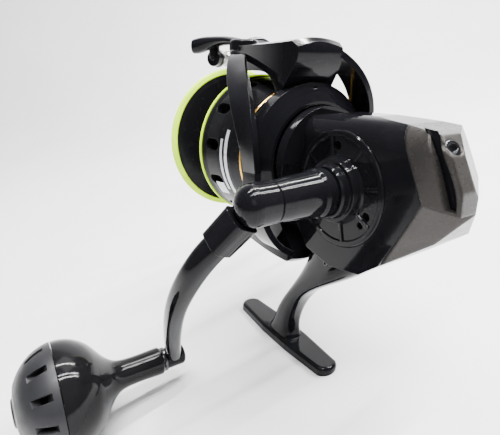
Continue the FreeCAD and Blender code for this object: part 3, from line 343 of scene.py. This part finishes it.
def add_skirt_stripes(finish):
    """Thin printed stripes that wrap part of the skirt and turn with the spool."""
    for number, (x0, x1, turn0, turn1) in enumerate(SKIRT_STRIPES):
        spots = []
        for row in range(STRIPE_ROWS):
            degrees = turn0 + (turn1 - turn0) * row / (STRIPE_ROWS - 1)
            for column in range(STRIPE_COLUMNS):
                spots.append((x0 + (x1 - x0) * column / (STRIPE_COLUMNS - 1), degrees))
        lower = [skirt_point(x, degrees, -STRIPE_SINK) for x, degrees in spots]
        upper = [skirt_point(x, degrees, STRIPE_PROUD) for x, degrees in spots]
        add_slab("skirt_stripe_%d" % number, lower, upper, STRIPE_ROWS, STRIPE_COLUMNS,
                 finish, "spool")


def add_camera():
    data = bpy.data.cameras.new("camera")
    data.sensor_width = SENSOR_WIDTH
    data.lens = LENS
    data.clip_start = CLIP_START
    data.clip_end = CLIP_END
    camera = bpy.data.objects.new("camera", data)
    back = CAMERA_RIGHT.cross(CAMERA_UP).normalized()
    up = back.cross(CAMERA_RIGHT).normalized()
    right = up.cross(back)
    turned = Matrix((right, up, back)).transposed()
    camera.matrix_world = Matrix.Translation(CAMERA_AT) @ turned.to_4x4()
    bpy.context.scene.collection.objects.link(camera)
    bpy.context.scene.camera = camera
    return -back


def stage_material():
    material = bpy.data.materials.new("studio_paper")
    material.use_nodes = True
    tree = material.node_tree
    shader = tree.nodes["Principled BSDF"]
    shader.inputs["Roughness"].default_value = PAPER_ROUGHNESS
    place = tree.nodes.new("ShaderNodeTexCoord").outputs["Object"]
    fibres = noise(tree, place, PAPER_SCALE, PAPER_DETAIL)
    shade = ramp_colours(tree, fibres, PAPER_DARK, PAPER_LIGHT)
    tree.links.new(shade, shader.inputs["Base Color"])
    return material


def add_stage(look):
    """A floor that leans with the reel and curves up into a wall behind it, as one sheet."""
    up = FLOOR_NORMAL
    away = (look - up * look.dot(up)).normalized()
    side = away.cross(up)
    profile = [(-FLOOR_HALF, 0.0), (WALL_AWAY - COVE_RADIUS, 0.0)]
    for i in range(1, COVE_STEPS + 1):
        turn = math.radians(90.0 * i / COVE_STEPS)
        profile.append((WALL_AWAY - COVE_RADIUS + COVE_RADIUS * math.sin(turn),
                        COVE_RADIUS * (1 - math.cos(turn))))
    profile.append((WALL_AWAY, WALL_TALL))
    points = []
    for along, high in profile:
        for across in (-FLOOR_HALF, FLOOR_HALF):
            points.append(FLOOR_POINT + away * along + side * across + up * high)
    faces = [(2 * i, 2 * i + 1, 2 * i + 3, 2 * i + 2) for i in range(len(profile) - 1)]
    mesh = bpy.data.meshes.new("studio_sweep")
    mesh.from_pydata(points, [], faces)
    mesh.polygons.foreach_set("use_smooth", [True] * len(faces))
    mesh.materials.append(stage_material())
    sweep = bpy.data.objects.new("studio_sweep", mesh)
    bpy.context.scene.collection.objects.link(sweep)


def add_light(name, at, aim, size, energy, colour=(1.0, 1.0, 1.0)):
    data = bpy.data.lights.new(name, "AREA")
    data.shape = "RECTANGLE"
    data.size, data.size_y = size
    data.energy = energy
    data.color = colour
    lamp = bpy.data.objects.new(name, data)
    lamp.location = at
    lamp.rotation_mode = "QUATERNION"
    lamp.rotation_quaternion = (Vector(at) - Vector(aim)).to_track_quat("Z", "Y")
    bpy.context.scene.collection.objects.link(lamp)


def add_lights(centre):
    """Narrow ceiling tubes that draw crisp highlights, two soft fills and dim air."""
    for name, x, energy, colour in TUBES:
        add_light(name, (x, TUBE_Y, TUBE_Z), (x, TUBE_Y, 0.0), TUBE_SIZE, energy, colour)
    add_light("ceiling_soft", SOFT_AT, centre, SOFT_SIZE, SOFT_POWER)
    add_light("camera_fill", FILL_AT, centre, FILL_SIZE, FILL_POWER)
    world = bpy.data.worlds.new("studio_air")
    world.use_nodes = True
    background = world.node_tree.nodes["Background"]
    background.inputs["Color"].default_value = AIR_COLOUR
    background.inputs["Strength"].default_value = AIR_STRENGTH
    bpy.context.scene.world = world


def main():
    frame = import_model()
    cad_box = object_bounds()
    finishes = {name: finish_material(name, **facts) for name, facts in FINISHES.items()}
    paint_frame(frame, finishes)
    # Painted shade: a dark sheet that lines the recessed slot in the rear cover.
    add_slot_painted_shade(finishes["gloss_black_resin"])
    add_skirt_stripes(finish_material("printed_stripe", **STRIPE_FINISH))
    look = add_camera()
    add_stage(look)
    add_lights((cad_box[0] + cad_box[1]) / 2)


main()
